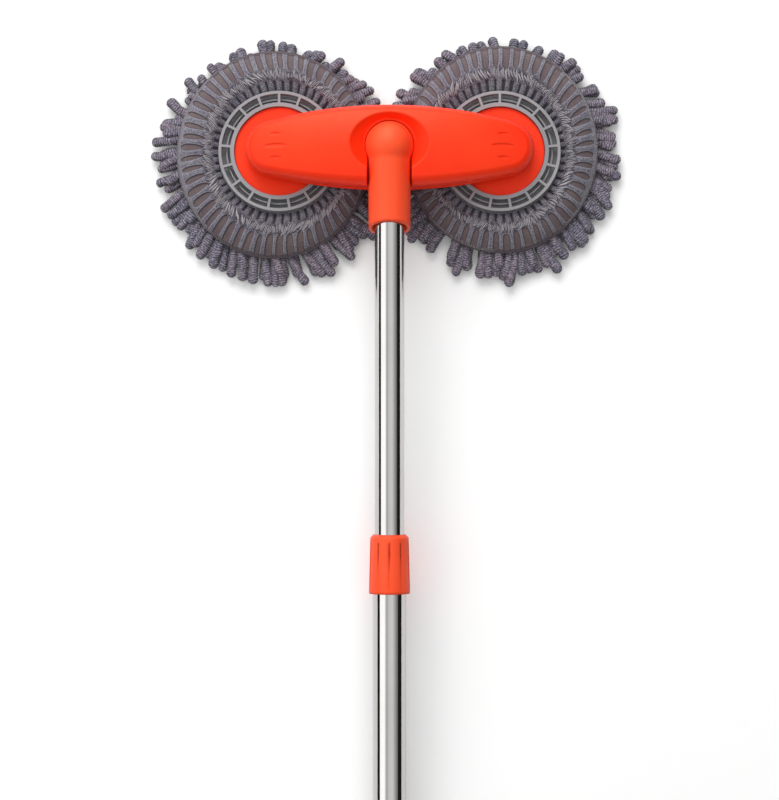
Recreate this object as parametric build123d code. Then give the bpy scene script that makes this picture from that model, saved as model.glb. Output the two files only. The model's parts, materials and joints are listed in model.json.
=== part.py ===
from build123d import *
from math import asin, atan, atan2, cos, degrees, pi, radians, sin, sqrt
import os

# A telescopic car wash mop with two turning heads, lying on its fingers with the pole on the floor.
# X runs along the arm, the pole runs towards -Y and Z is up. All lengths are in millimetres.
# The solids are built about the middle of the arm, and moved at the end so that the origin
# is the middle of the underside of the whole mop.

# Clearances and cutting overrun
seat_gap = 0.3
running_gap = 0.05
slide_gap = 0.1
overrun = 1.0

# Arm: two shells with a boat-shaped outline
arm_half_length = 107.3
arm_half_width = 30.2
arm_end_radius = 20.0
arm_height = 33.2
arm_wall = 2.2
cover_floor = 1.8
cover_height = 8.2
cover_edge_chamfer = 1.6
crown_across_radius = 95.0
crown_end_drop = 16.0
crown_along_radius = (arm_half_length**2 + crown_end_drop**2) / (2 * crown_end_drop)
shoulder_bevels = (4.1, 1.5)
ceiling_middle_drop = 1.7
ceiling_side_drop = 6.2
ceiling_middle_half_width = 17.0
bead_depth = 0.5
bead_height = 1.4
lip_height = 3.0
lip_wall = 1.2

# Dish round the neck, an oval bowl in the upper shell
dish_half_length = 32.5
dish_half_width = 24.6
dish_floor_half_length = 19.4
dish_floor_half_width = 19.0
dish_forward = 1.0
dish_depth = 8.6

# Marks near each end of the arm
mark_from_middle = 84.0
mark_spacing = 8.8
mark_depth = 0.6
mark_width = 1.3
long_mark_width = 2.6
short_mark_length = 9.4
long_mark_length = 18.6

# Spindles, one near each end of the arm
spindle_spacing = 165.6
spigot_radius = 6.0
spigot_boss_height = 11.0
spindle_screw_radius = 1.5
spindle_screw_length = 14.0
spindle_screw_head_radius = 8.0
spindle_screw_head_height = 2.6

# Screws that close the arm
cover_screw_spacing = 96.0
cover_screw_radius = 1.6
cover_screw_length = 18.0
cover_screw_head_radius = 3.0
cover_screw_head_height = 1.0
cover_boss_radius = 4.0

# Neck: knuckle ball, barrel and hinge pin
knuckle_radius = 18.2
neck_length = 61.0
barrel_root_radius = 15.9
barrel_mouth_radius = 15.3
neck_blend_radius = 9.0
neck_gap = 0.4
mouth_slant = 16.0
mouth_flare = 2.0
mouth_flare_depth = 6.0
socket_depth = 36.0
hinge_pin_radius = 1.8
hinge_post_width = 8.0
hinge_post_length = 10.0
keeper_width = 3.0
neck_lowest = 3.0

# Pin under the neck that keeps the inner tube
tube_pin_from_hinge = 43.0
tube_pin_radius = 2.0
tube_pin_reach = 2.2

# Pole
inner_tube_radius = 11.0
inner_tube_wall = 0.7
inner_tube_length = 500.0
outer_tube_radius = 12.5
outer_tube_wall = 0.8
outer_tube_length = 500.0
exposed_inner_tube = 225.8
plug_length = 22.0
plug_flange = 4.0

# Lock collar and the slotted collet inside it
collar_length = 43.3
collar_top_radius = 14.2
collar_mouth_radius = 15.2
collar_shoulder_radius = 2.4
collar_lip = 2.4
collar_wall = 1.3
collar_flutes = 10
flute_radius = 0.9
flute_depth = 0.5
flute_start = 6.0
flute_end_margin = 3.0
collet_wall = 0.9
collet_sleeve_length = 18.0
collet_shoulder = 1.6
collet_jaw_length = 11.5
collet_jaw_taper = 0.7
collet_slots = 4
collet_slot_width = 2.0

# End grip with its hanging tab
grip_radius = 14.5
grip_length = 118.0
grip_end_radius = 6.0
grip_bevel = 1.6
grip_flutes = 6
grip_flute_margin = 10.0
tab_half_width = 11.0
tab_thickness = 8.0
tab_reach = 16.0
hang_hole_radius = 4.0

# Turntable under each end of the arm
turntable_radius = 34.2
turntable_rim_radius = 33.4
turntable_rim_height = 1.8
turntable_plate = 2.2
turntable_wall = 2.0
turntable_hub_radius = 10.0
turntable_hub_drop = 6.5
turntable_hub_rise = 3.3
turntable_ribs = 6
turntable_rib_width = 1.6

# Grey mop ring and the clamp ring below the cloth
ring_radius = 45.4
ring_rim_width = 2.2
ring_inner_rim_width = 2.1
ring_inner_radius = 34.5
ring_lip_radius = 33.7
ring_height = 6.6
ring_lip_height = 4.3
ring_ribs = 17
ring_rib_width = 1.9
window_rib_radius = 40.0
window_rib_width = 1.2
window_rib_height = 2.4
ring_rib_lap = 0.4
clamp_radius = 47.0
clamp_thickness = 1.7
clamp_collar_wall = 1.6

# Cloth cover, a crowned skin with a hem
cloth_skin = 2.0
cloth_start_radius = 46.2
cloth_crown_radius = 58.5
cloth_crown_rise = 3.4
cloth_hem_radius = 76.0
cloth_hem_drop = 6.3
hem_height = 2.4
cloth_strips = 52
cloth_rise_rings = 2
cloth_fall_rings = 3

# Fingers: the pile that the mop stands on, and the fringe past the hem
backing_thickness = 3.0
backing_sides = 48
pile_backing_radius = 61.5
pile_height = 10.0
pile_finger_width = 6.2
pile_ring_spacing = 11.6
pile_rings = 5
pile_first_radius = 8.0
pile_first_count = 6
pile_ring_more = 6.5
pile_lean = 3.0
pile_least_lean_share = 0.6
floor_cut = 0.5
fringe_inner_radius = 62.2
fringe_outer_radius = 73.6
fringe_thickness = 6.3
fringe_count = 64
fringe_root_radius = 71.5
fringe_finger_width = 5.2
fringe_shortest_reach = 87.0
fringe_longest_reach = 100.0
fringe_high_tip = 6.4
fringe_low_tip = 3.8
fringe_high_root = 7.4
fringe_low_root = 6.8
fringe_sway = 1.4
golden_share = (sqrt(5) - 1) / 2

# Heights above the floor, from the fingers up to the hinge
backing_top = pile_height + backing_thickness
screw_head_low = backing_top + seat_gap
spigot_low = screw_head_low + spindle_screw_head_height
hub_low = spigot_low + seat_gap
plate_top = hub_low + turntable_hub_drop
hub_top = plate_top + turntable_hub_rise
arm_low = hub_top + seat_gap
parting = arm_low + cover_height
arm_top = arm_low + arm_height
hinge_height = arm_low + cover_floor + seat_gap + knuckle_radius
ring_low = plate_top - turntable_rim_height + seat_gap - (ring_height - ring_lip_height)
ring_top = ring_low + ring_height
ring_rib_low = ring_low + window_rib_height - ring_rib_lap
clamp_low = ring_low - cloth_skin - clamp_thickness

# Places along the pole, from the hinge
socket_end = neck_length - socket_depth
inner_tube_start = socket_end + seat_gap
inner_tube_end = inner_tube_start + inner_tube_length
collar_start = neck_length + exposed_inner_tube
jaw_start = collar_start + collar_lip + seat_gap
shoulder_start = jaw_start + collet_jaw_length
outer_tube_start = shoulder_start + collet_shoulder
outer_tube_end = outer_tube_start + outer_tube_length
grip_end = outer_tube_end + seat_gap + grip_end_radius / 2
grip_start = grip_end - grip_length
tab_centre = grip_end + tab_reach

# The pole slopes down until the rounded end of the grip touches the floor.
grip_ring_radius = grip_radius - grip_end_radius
grip_drop = hinge_height - grip_end_radius
slope = degrees(asin(grip_drop / sqrt(grip_end**2 + grip_ring_radius**2)) - atan(grip_ring_radius / grip_end))

base = (Align.CENTER, Align.CENTER, Align.MIN)
hinge = Vector(0, 0, hinge_height)
pole_direction = Vector(0, -cos(radians(slope)), -sin(radians(slope)))
pole_plane = Plane(origin=hinge, x_dir=(1, 0, 0), z_dir=pole_direction)
sides = {"left": -1, "right": 1}


def rod(radius, low, high):
    """A round rod about Z between two heights."""
    return Pos(0, 0, low) * Cylinder(radius, high - low, align=base)


def pipe(outer, inner, low, high):
    """A round pipe about Z between two heights."""
    return rod(outer, low, high) - rod(inner, low - overrun, high + overrun)


def block(width, depth, low, high):
    """A rectangular block about Z between two heights."""
    return Pos(0, 0, low) * Box(width, depth, high - low, align=base)


def turned(points):
    """A solid turned about Z from a closed outline of (radius, height) points."""
    outline = Polyline(*[(radius, 0, height) for radius, height in points], close=True)
    return revolve(make_face(outline), axis=Axis.Z)


def on_pole(shape):
    """Moves a shape built along Z from the hinge onto the sloping pole."""
    return pole_plane.location * shape


def share_of(number):
    """An even spread of shares between 0 and 1 that never repeats."""
    return (number * golden_share) % 1


def arm_outline(inset):
    """The boat shape seen from above: two long side arcs and two end arcs, all tangent."""
    end_centre = arm_half_length - arm_end_radius
    side_radius = (end_centre**2 + arm_half_width**2 - arm_end_radius**2) / (
        2 * (arm_half_width - arm_end_radius)
    )
    to_end = atan2(side_radius - arm_half_width, end_centre)
    end_radius = arm_end_radius - inset
    half_width = arm_half_width - inset
    half_length = arm_half_length - inset
    tangent_x = end_centre + end_radius * cos(to_end)
    tangent_y = end_radius * sin(to_end)
    far = ThreePointArc((-tangent_x, tangent_y), (0, half_width), (tangent_x, tangent_y))
    right = ThreePointArc((tangent_x, tangent_y), (half_length, 0), (tangent_x, -tangent_y))
    near = ThreePointArc((tangent_x, -tangent_y), (0, -half_width), (-tangent_x, -tangent_y))
    left = ThreePointArc((-tangent_x, -tangent_y), (-half_length, 0), (-tangent_x, tangent_y))
    return make_face([far, right, near, left])


def crown_height(x, y):
    """The height of the arm's crowned top at a place."""
    swing = crown_along_radius - crown_across_radius
    return arm_top - crown_along_radius + sqrt((swing + sqrt(crown_across_radius**2 - y**2)) ** 2 - x**2)


def crown(drop, half_width):
    """A solid whose top is the arm's crown, lowered by a drop, between two sides along the arm."""
    lying = Pos(0, 0, arm_top - crown_along_radius) * Rot(90, 0, 0)
    return lying * Cylinder(crown_along_radius - drop, 2 * half_width)


def crowned_block():
    """The arm's outline raised to its crowned top, with a shoulder of narrow bevels round the edge."""
    swing = crown_along_radius - crown_across_radius
    lying = Pos(0, 0, arm_top - crown_along_radius) * Rot(90, 0, 0)
    core = crown(crown_across_radius / 2, arm_half_width + overrun)
    crowned = lying * Torus(swing, crown_across_radius) + core
    raised = extrude(Pos(0, 0, parting) * arm_outline(0), amount=arm_top + overrun - parting)
    body = raised & crowned
    for bevel in shoulder_bevels:
        upper_edges = body.edges().filter_by(lambda edge: edge.center().Z > parting + overrun)
        body = chamfer(upper_edges.filter_by(lambda edge: edge.geom_type != GeomType.LINE), bevel)
    return body


def pocket(wall, low):
    """The room inside the upper shell: a ceiling that follows the crown along the arm, lower at the sides."""
    raised = extrude(Pos(0, 0, low) * arm_outline(wall), amount=arm_top - low)
    ceiling = crown(wall + ceiling_side_drop, arm_half_width)
    ceiling += crown(wall + ceiling_middle_drop, ceiling_middle_half_width)
    well = Pos(0, dish_forward, arm_top - dish_depth - wall) * Ellipse(
        dish_half_length + wall, dish_half_width + wall
    )
    return (raised & ceiling) - extrude(well, amount=dish_depth + wall)


def dish():
    """The oval bowl round the neck."""
    floor = Ellipse(dish_floor_half_length, dish_floor_half_width)
    top = Ellipse(dish_half_length, dish_half_width)
    floor_place = Pos(0, dish_forward, arm_top - dish_depth)
    return loft([floor_place * floor, floor_place * Pos(0, 0, dish_depth + overrun) * top], ruled=True)


def neck_way():
    """The room that the knuckle and the barrel need inside the arm, from the lowest to the raised neck."""
    width = 2 * (barrel_root_radius + neck_gap)
    ball = Pos(0, 0, hinge_height) * Sphere(knuckle_radius + neck_gap)
    reach = 2 * arm_half_width
    trough = Rot(90, 0, 0) * rod(width / 2, 0, reach)
    lowered = Rot(slope + neck_lowest, 0, 0) * trough
    slot = Pos(0, -reach / 2, hinge_height) * Box(width, reach, arm_height, align=base)
    return ball + Pos(0, 0, hinge_height) * lowered + slot


def cover_screw_places():
    return GridLocations(cover_screw_spacing, 0, 2, 1)


def spindle_places():
    return GridLocations(spindle_spacing, 0, 2, 1)


def hinge_places():
    """The middles of the two posts that carry the hinge pin."""
    post_middle = knuckle_radius + neck_gap + hinge_post_width / 2
    return [Pos(side * post_middle, 0, 0) for side in sides.values()]


def lens(length, width):
    """A pointed oval between two arcs."""
    far = ThreePointArc((-length / 2, 0), (0, width / 2), (length / 2, 0))
    near = ThreePointArc((length / 2, 0), (0, -width / 2), (-length / 2, 0))
    return make_face([far, near])


def arm_marks():
    """Shallow lens-shaped cuts near each end of the arm: a long one between two short ones."""
    cuts = []
    for side in sides.values():
        for step in (-1, 0, 1):
            length = long_mark_length if step == 0 else short_mark_length
            width = long_mark_width if step == 0 else mark_width
            x = side * mark_from_middle
            y = step * mark_spacing
            tip = degrees(atan(side * mark_from_middle / crown_along_radius))
            place = Pos(x, y, crown_height(x, y) - mark_depth) * Rot(0, tip, 0)
            cuts.append(place * extrude(lens(length, width), amount=mark_depth + overrun))
    return cuts


def arm_upper_shell():
    shell = crowned_block() - dish() - pocket(arm_wall, parting - overrun)
    floor = arm_low + cover_floor
    boss = rod(cover_boss_radius, floor, arm_top)
    keeper = block(keeper_width, hinge_post_length, hinge_height + hinge_pin_radius, arm_top)
    lip_room = arm_outline(0) - arm_outline(arm_wall + lip_wall + seat_gap)
    inside = pocket(arm_wall / 2, floor) - extrude(lip_room, amount=parting + lip_height + seat_gap)
    bosses = [place * boss for place in cover_screw_places()]
    keepers = [place * keeper for place in hinge_places()]
    shell += [piece & inside for piece in bosses + keepers]
    pilot = rod(cover_screw_radius + running_gap, floor - overrun, arm_low + cover_screw_length + seat_gap)
    shell -= [place * pilot for place in cover_screw_places()]
    shell -= arm_marks()
    return shell - neck_way()


def arm_lower_cover():
    """A tray that closes the arm from below, with the spigots, the hinge posts and a lip for the shell."""
    floor = arm_low + cover_floor
    outer = extrude(Pos(0, 0, arm_low) * arm_outline(0), amount=cover_height)
    outer = chamfer(outer.faces().sort_by(Axis.Z)[0].edges(), cover_edge_chamfer)
    outer += extrude(Pos(0, 0, parting - bead_height) * arm_outline(-bead_depth), amount=bead_height)
    lip_outline = Pos(0, 0, floor) * arm_outline(arm_wall + slide_gap)
    outer += extrude(lip_outline, amount=parting + lip_height - floor)
    cover = outer - extrude(Pos(0, 0, floor) * arm_outline(arm_wall + lip_wall), amount=arm_height)
    spigot = rod(spigot_radius, spigot_low, floor + spigot_boss_height)
    cover += [place * spigot for place in spindle_places()]
    pilot = rod(spindle_screw_radius + running_gap, spigot_low - overrun,
                spigot_low + spindle_screw_length + seat_gap)
    cover -= [place * pilot for place in spindle_places()]
    post = block(hinge_post_width, hinge_post_length, floor - overrun, hinge_height)
    pin_seat = Pos(0, 0, hinge_height) * Rot(0, 90, 0) * Cylinder(hinge_pin_radius, arm_half_width)
    cover += [place * (post - pin_seat) for place in hinge_places()]
    hole = rod(cover_screw_radius + slide_gap, arm_low - overrun, floor + overrun)
    sink = rod(cover_screw_head_radius + slide_gap, arm_low - overrun, arm_low + cover_screw_head_height)
    cover -= [place * (hole + sink) for place in cover_screw_places()]
    return cover - (neck_way() & rod(arm_half_length, floor, arm_top + overrun))


def cover_screws():
    head_high = arm_low + cover_screw_head_height
    screw = rod(cover_screw_head_radius, arm_low, head_high)
    screw += rod(cover_screw_radius, arm_low, arm_low + cover_screw_length)
    return Compound([place * screw for place in cover_screw_places()])


def spindle_screws():
    """Two screws whose wide heads hold the turntables on their spigots."""
    screw = rod(spindle_screw_head_radius, screw_head_low, spigot_low)
    screw += rod(spindle_screw_radius, screw_head_low, spigot_low + spindle_screw_length)
    return Compound([place * screw for place in spindle_places()])


def neck_hinge_pin():
    half_length = knuckle_radius + neck_gap + hinge_post_width
    return Pos(0, 0, hinge_height) * Rot(0, 90, 0) * Cylinder(hinge_pin_radius, 2 * half_length)


def neck_barrel():
    ball = Sphere(knuckle_radius)
    over_length = neck_length + barrel_mouth_radius
    barrel = Cone(barrel_root_radius, barrel_mouth_radius, over_length, align=base)
    body = ball + barrel
    seam = [edge for edge in body.edges() if edge.geom_type == GeomType.CIRCLE
            and 0 < edge.center().Z < knuckle_radius]
    body = fillet(seam, neck_blend_radius)
    cutter = Box(4 * neck_length, 4 * neck_length, 2 * neck_length, align=base)
    body -= Pos(0, 0, neck_length) * Rot(-mouth_slant, 0, 0) * cutter
    tube_room = inner_tube_radius + slide_gap
    body -= rod(tube_room, socket_end, over_length)
    flare = Cone(tube_room, tube_room + mouth_flare, mouth_flare_depth, align=base)
    body -= Pos(0, 0, neck_length) * Rot(-mouth_slant, 0, 0) * Pos(0, 0, -mouth_flare_depth) * flare
    body -= Rot(0, 90, 0) * Cylinder(hinge_pin_radius + running_gap, 2 * knuckle_radius + overrun)
    pin_hole = Rot(90, 0, 0) * rod(tube_pin_radius + running_gap, 0, knuckle_radius)
    return on_pole(body - Pos(0, 0, tube_pin_from_hinge) * pin_hole)


def tube_pin():
    """A pin through the underside of the neck that keeps the inner tube in its socket."""
    pin = rod(tube_pin_radius, inner_tube_radius - tube_pin_reach, barrel_mouth_radius)
    return on_pole(Pos(0, 0, tube_pin_from_hinge) * Rot(90, 0, 0) * pin)


def inner_tube():
    bore = inner_tube_radius - inner_tube_wall
    tube = pipe(inner_tube_radius, bore, inner_tube_start, inner_tube_end)
    pin_hole = Rot(90, 0, 0) * rod(tube_pin_radius + slide_gap, 0, knuckle_radius)
    return on_pole(tube - Pos(0, 0, tube_pin_from_hinge) * pin_hole)


def inner_tube_plug():
    """A plug in the lower end of the inner tube, with a flange that runs in the outer tube."""
    outer_bore = outer_tube_radius - outer_tube_wall
    inner_bore = inner_tube_radius - inner_tube_wall
    stem = rod(inner_bore - running_gap, inner_tube_end - plug_length, inner_tube_end)
    flange = rod(outer_bore - slide_gap, inner_tube_end, inner_tube_end + plug_flange)
    return on_pole(stem + flange)


def outer_tube():
    tube = pipe(outer_tube_radius, outer_tube_radius - outer_tube_wall, outer_tube_start, outer_tube_end)
    return on_pole(tube)


def lock_collet():
    """A sleeve on the outer tube whose slotted jaws close on the inner tube."""
    bore = inner_tube_radius + slide_gap
    sleeve_bore = outer_tube_radius + running_gap
    sleeve = sleeve_bore + collet_wall
    body = turned([
        (bore, jaw_start),
        (sleeve - collet_jaw_taper - slide_gap, jaw_start),
        (sleeve, shoulder_start),
        (sleeve, outer_tube_start + collet_sleeve_length),
        (sleeve_bore, outer_tube_start + collet_sleeve_length),
        (sleeve_bore, outer_tube_start),
        (bore, outer_tube_start),
    ])
    slot = block(collet_slot_width, 4 * collar_mouth_radius, jaw_start - overrun, shoulder_start)
    body -= [Rot(0, 0, turn * 360 / collet_slots) * slot for turn in range(collet_slots // 2)]
    return on_pole(body)


def fluted(body, count, radius_at_start, radius_at_end, start, end):
    """Cuts shallow round grooves along a handle whose radius may change along it."""
    lean = degrees(atan((radius_at_end - radius_at_start) / (end - start)))
    cutter = Rot(0, lean, 0) * Cylinder(flute_radius, end - start, align=base)
    cutter = Pos(radius_at_start + flute_radius - flute_depth, 0, start) * cutter
    return body - [Rot(0, 0, (turn + 0.5) * 360 / count) * cutter for turn in range(count)]


def lock_collar():
    """The fluted twist sleeve round the collet, closed at the top but for the inner tube's way."""
    collar_end = collar_start + collar_length
    way = inner_tube_radius + seat_gap
    sleeve = outer_tube_radius + running_gap + collet_wall + seat_gap
    body = turned([
        (way, collar_start),
        (collar_top_radius - collar_shoulder_radius, collar_start),
        (collar_top_radius, collar_start + collar_shoulder_radius),
        (collar_mouth_radius, collar_end),
        (collar_mouth_radius - collar_wall / 2, collar_end),
        (sleeve, collar_end - collar_wall),
        (sleeve, shoulder_start),
        (sleeve - collet_jaw_taper, collar_start + collar_lip),
        (way, collar_start + collar_lip),
    ])
    start = collar_start + flute_start
    end = collar_end - flute_end_margin
    return on_pole(fluted(body, collar_flutes, collar_top_radius, collar_mouth_radius, start, end))


def end_grip():
    """A sleeve over the end of the outer tube with a flat tab for hanging."""
    body = rod(grip_radius, grip_start, grip_end + grip_end_radius)
    ends = body.edges().filter_by(GeomType.CIRCLE).sort_by(Axis.Z)
    body = fillet(ends[-1], grip_end_radius)
    body = chamfer(body.edges().filter_by(GeomType.CIRCLE).sort_by(Axis.Z)[0], grip_bevel)
    tab = Rot(90, 0, 0) * Cylinder(tab_half_width, tab_thickness)
    tab += Pos(0, 0, -tab_reach) * block(2 * tab_half_width, tab_thickness, 0, tab_reach)
    body += Pos(0, 0, tab_centre) * tab
    body -= Pos(0, 0, tab_centre) * Rot(90, 0, 0) * Cylinder(hang_hole_radius, 2 * tab_thickness)
    body -= rod(outer_tube_radius + running_gap, grip_start - overrun, outer_tube_end + seat_gap)
    start = grip_start + grip_flute_margin
    end = grip_end - grip_flute_margin
    return on_pole(fluted(body, grip_flutes, grip_radius, grip_radius, start, end))


def turntable():
    """A ribbed cup that turns on the spigot and takes the mop ring on its rim."""
    bore = spigot_radius + running_gap
    rim_low = plate_top - turntable_rim_height
    plate_low = plate_top - turntable_plate
    skirt_low = backing_top + seat_gap
    skirt_inside = turntable_radius - turntable_wall
    cup = turned([
        (bore, hub_low),
        (turntable_hub_radius, hub_low),
        (turntable_hub_radius, plate_low),
        (skirt_inside, plate_low),
        (skirt_inside, skirt_low),
        (turntable_radius, skirt_low),
        (turntable_radius, rim_low),
        (turntable_rim_radius, rim_low),
        (turntable_rim_radius, plate_top),
        (turntable_hub_radius, plate_top),
        (turntable_hub_radius, hub_top),
        (bore, hub_top),
    ])
    rib_start = (bore + turntable_hub_radius) / 2
    rib_length = skirt_inside + turntable_wall / 2 - rib_start
    rib = block(rib_length, turntable_rib_width, hub_low, plate_top - turntable_plate / 2)
    rib = Pos(rib_start + rib_length / 2, 0, 0) * rib
    return cup + [Rot(0, 0, turn * 360 / turntable_ribs) * rib for turn in range(turntable_ribs)]


def mop_ring():
    """Two rims joined by radial ribs, with one low round rib across the windows."""
    inner_rim = ring_inner_radius + ring_inner_rim_width
    outer_rim = ring_radius - ring_rim_width
    lip_low = ring_top - ring_lip_height
    ring = pipe(ring_radius, outer_rim, ring_low, ring_top)
    ring += pipe(inner_rim, ring_inner_radius, ring_low, lip_low)
    ring += pipe(inner_rim, ring_lip_radius, lip_low, ring_top)
    window_rib_inside = window_rib_radius - window_rib_width
    ring += pipe(window_rib_radius, window_rib_inside, ring_low, ring_low + window_rib_height)
    middle = (inner_rim + outer_rim) / 2
    rib_length = outer_rim - inner_rim + ring_inner_rim_width
    rib = Pos(middle, 0, 0) * block(rib_length, ring_rib_width, ring_rib_low, ring_top)
    return ring + [Rot(0, 0, 90 + turn * 360 / ring_ribs) * rib for turn in range(ring_ribs)]


def clamp_ring():
    """A flat ring under the cloth whose collar is welded to the mop ring."""
    inner = turntable_radius + 2 * seat_gap
    flat_top = clamp_low + clamp_thickness
    return pipe(clamp_radius, inner, clamp_low, flat_top) + pipe(
        inner + clamp_collar_wall, inner, flat_top, ring_low)


def cloth_height(radius):
    """The top of the cloth: an arc from the mop ring over the crown, then another down to the hem."""
    if radius < cloth_crown_radius:
        reach = (cloth_crown_radius - radius) / (cloth_crown_radius - cloth_start_radius)
        return ring_low + cloth_crown_rise * (1 - reach**2)
    reach = (radius - cloth_crown_radius) / (cloth_hem_radius - cloth_crown_radius)
    return ring_low + cloth_crown_rise - (cloth_crown_rise + cloth_hem_drop) * reach**2


def stacked(sections):
    """Flat-sided rings between neighbouring (radius, height) sections, one strip for each rib of the knit."""
    faces = [Pos(0, 0, height) * RegularPolygon(radius, cloth_strips) for radius, height in sections]
    rings = [loft([low, high], ruled=True) for low, high in zip(faces, faces[1:])]
    return rings[0] + rings[1:]


def cloth_dome(inset, lowest):
    """The cushion under the cloth's top: a crown that falls to the hem, hollowed towards the mop ring."""
    fall_width = cloth_hem_radius - cloth_crown_radius
    fall = [cloth_hem_radius - fall_width * step / cloth_fall_rings for step in range(cloth_fall_rings)]
    fall.append(cloth_crown_radius)
    rise_width = cloth_crown_radius - cloth_start_radius
    rise = [cloth_start_radius + rise_width * step / cloth_rise_rings for step in range(cloth_rise_rings)]
    rise.append(cloth_crown_radius)
    outside = [(fall[0] - inset, lowest)]
    outside += [(radius - inset, cloth_height(radius) - inset) for radius in fall]
    hollow = [(radius, cloth_height(radius) - inset) for radius in rise]
    return stacked(outside) - stacked(hollow)


def cloth_cover():
    """A skin that starts between the two rings, crowns over the pile and ends in a turned hem."""
    inner_edge = turntable_radius + 2 * seat_gap + clamp_collar_wall + seat_gap
    hem_low = ring_low - cloth_hem_drop - hem_height
    hole = extrude(
        RegularPolygon(inner_edge, cloth_strips, major_radius=False), amount=ring_top
    )
    return cloth_dome(0, hem_low) - cloth_dome(cloth_skin, hem_low - overrun) - hole


def finger(root, end, width):
    """A straight four-sided finger between two points."""
    direction = (end - root).normalized()
    across = Vector(0, 0, 1).cross(direction)
    section = Plane(origin=root, x_dir=across, z_dir=direction) * Rectangle(width, width)
    return extrude(section, amount=(end - root).length)


def pile():
    """Fingers under a slice of the backing, cut flat where they stand on the floor."""
    backing = extrude(
        Pos(0, 0, pile_height) * RegularPolygon(pile_backing_radius, backing_sides), amount=backing_thickness
    )
    fingers = []
    for ring in range(pile_rings):
        radius = pile_first_radius + ring * pile_ring_spacing
        count = round(pile_first_count + ring * pile_ring_more)
        for number in range(count):
            turn = 2 * pi * (number + share_of(ring)) / count
            lean_share = pile_least_lean_share + (1 - pile_least_lean_share) * share_of(number + ring)
            foot = radius + pile_lean * lean_share
            root = Vector(radius * cos(turn), radius * sin(turn), pile_height + backing_thickness / 2)
            end = Vector(foot * cos(turn), foot * sin(turn), -floor_cut)
            fingers.append(finger(root, end, pile_finger_width))
    whole = backing + fingers
    return whole - Box(4 * pile_backing_radius, 4 * pile_backing_radius, pile_height,
                       align=(Align.CENTER, Align.CENTER, Align.MAX))


def fringe(side):
    """Fingers that stand out past the hem, in two levels, shorter where they face the other head."""
    low = ring_low - cloth_hem_drop - cloth_skin - seat_gap - fringe_thickness
    band = RegularPolygon(fringe_outer_radius, fringe_count)
    band -= RegularPolygon(fringe_inner_radius, fringe_count)
    backing = extrude(Pos(0, 0, low) * band, amount=fringe_thickness)
    own_half = spindle_spacing / 2 - seat_gap
    fingers = []
    for number in range(fringe_count):
        turn = 2 * pi * (number + 0.5) / fringe_count
        high = number % 2 == 0
        spread = fringe_longest_reach - fringe_shortest_reach
        reach = fringe_shortest_reach + spread * share_of(number * 3 + side)
        facing = -side * cos(turn)
        if facing > 0:
            reach = min(reach, (own_half - fringe_finger_width / 2) / facing)
        sway = radians(fringe_sway) * (2 * share_of(number * 5 + side) - 1)
        length = reach - fringe_root_radius
        root_height = fringe_high_root if high else fringe_low_root
        tip_height = fringe_high_tip if high else fringe_low_tip
        root = Vector(fringe_root_radius * cos(turn), fringe_root_radius * sin(turn), root_height)
        end = root + Vector(length * cos(turn + sway), length * sin(turn + sway), tip_height - root_height)
        fingers.append(finger(root, end, fringe_finger_width))
    return backing + fingers


parts = {
    "arm_upper_shell": arm_upper_shell(),
    "arm_lower_cover": arm_lower_cover(),
    "cover_screws": cover_screws(),
    "spindle_screws": spindle_screws(),
    "neck_hinge_pin": neck_hinge_pin(),
    "neck_barrel": neck_barrel(),
    "tube_pin": tube_pin(),
    "inner_tube": inner_tube(),
    "inner_tube_plug": inner_tube_plug(),
    "outer_tube": outer_tube(),
    "lock_collet": lock_collet(),
    "lock_collar": lock_collar(),
    "end_grip": end_grip(),
}
head = {
    "turntable": turntable(),
    "mop_ring": mop_ring(),
    "clamp_ring": clamp_ring(),
    "cloth_cover": cloth_cover(),
    "pile": pile(),
}
for name, side in sides.items():
    spindle = Pos(side * spindle_spacing / 2, 0, 0)
    for piece, shape in head.items():
        parts[f"{name}_{piece}"] = spindle * shape
    parts[f"{name}_fringe"] = spindle * fringe(side)

box = Compound(list(parts.values())).bounding_box()
to_origin = Pos(-(box.min.X + box.max.X) / 2, -(box.min.Y + box.max.Y) / 2, -box.min.Z)
os.makedirs("parts", exist_ok=True)
for name, shape in parts.items():
    export_step(to_origin * shape, f"parts/{name}.step")
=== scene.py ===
import json
from math import atan2, cos, pi, radians, sin, tau
import bpy
import numpy as np
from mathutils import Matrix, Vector


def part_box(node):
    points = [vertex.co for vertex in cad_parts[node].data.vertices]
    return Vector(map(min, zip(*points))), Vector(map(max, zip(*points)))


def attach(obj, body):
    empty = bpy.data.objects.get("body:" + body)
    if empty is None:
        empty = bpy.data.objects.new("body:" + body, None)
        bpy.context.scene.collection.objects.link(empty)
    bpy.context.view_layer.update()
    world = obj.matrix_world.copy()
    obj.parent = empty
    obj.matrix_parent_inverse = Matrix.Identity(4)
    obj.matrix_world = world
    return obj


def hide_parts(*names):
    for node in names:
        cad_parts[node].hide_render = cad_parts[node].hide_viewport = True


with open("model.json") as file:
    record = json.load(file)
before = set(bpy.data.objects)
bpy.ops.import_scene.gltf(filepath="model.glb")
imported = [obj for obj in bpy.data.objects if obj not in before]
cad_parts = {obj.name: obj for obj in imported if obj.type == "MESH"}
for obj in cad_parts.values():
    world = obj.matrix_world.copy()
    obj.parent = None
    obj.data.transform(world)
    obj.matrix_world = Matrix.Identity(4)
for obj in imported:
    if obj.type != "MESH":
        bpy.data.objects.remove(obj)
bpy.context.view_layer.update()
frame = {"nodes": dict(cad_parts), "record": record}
nodes = frame["nodes"]
mm = 0.001


# Places read from the frame

def middle(node):
    """The middle of a node's box at rest."""
    low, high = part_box(node)
    return (Vector(low) + Vector(high)) / 2


heads = {
    "left": middle("left_mop_ring"),
    "right": middle("right_mop_ring"),
}
arm_middle = middle("arm_upper_shell")
ring_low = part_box("left_mop_ring")[0][2]
spindle_spacing = heads["right"].x - heads["left"].x

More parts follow.
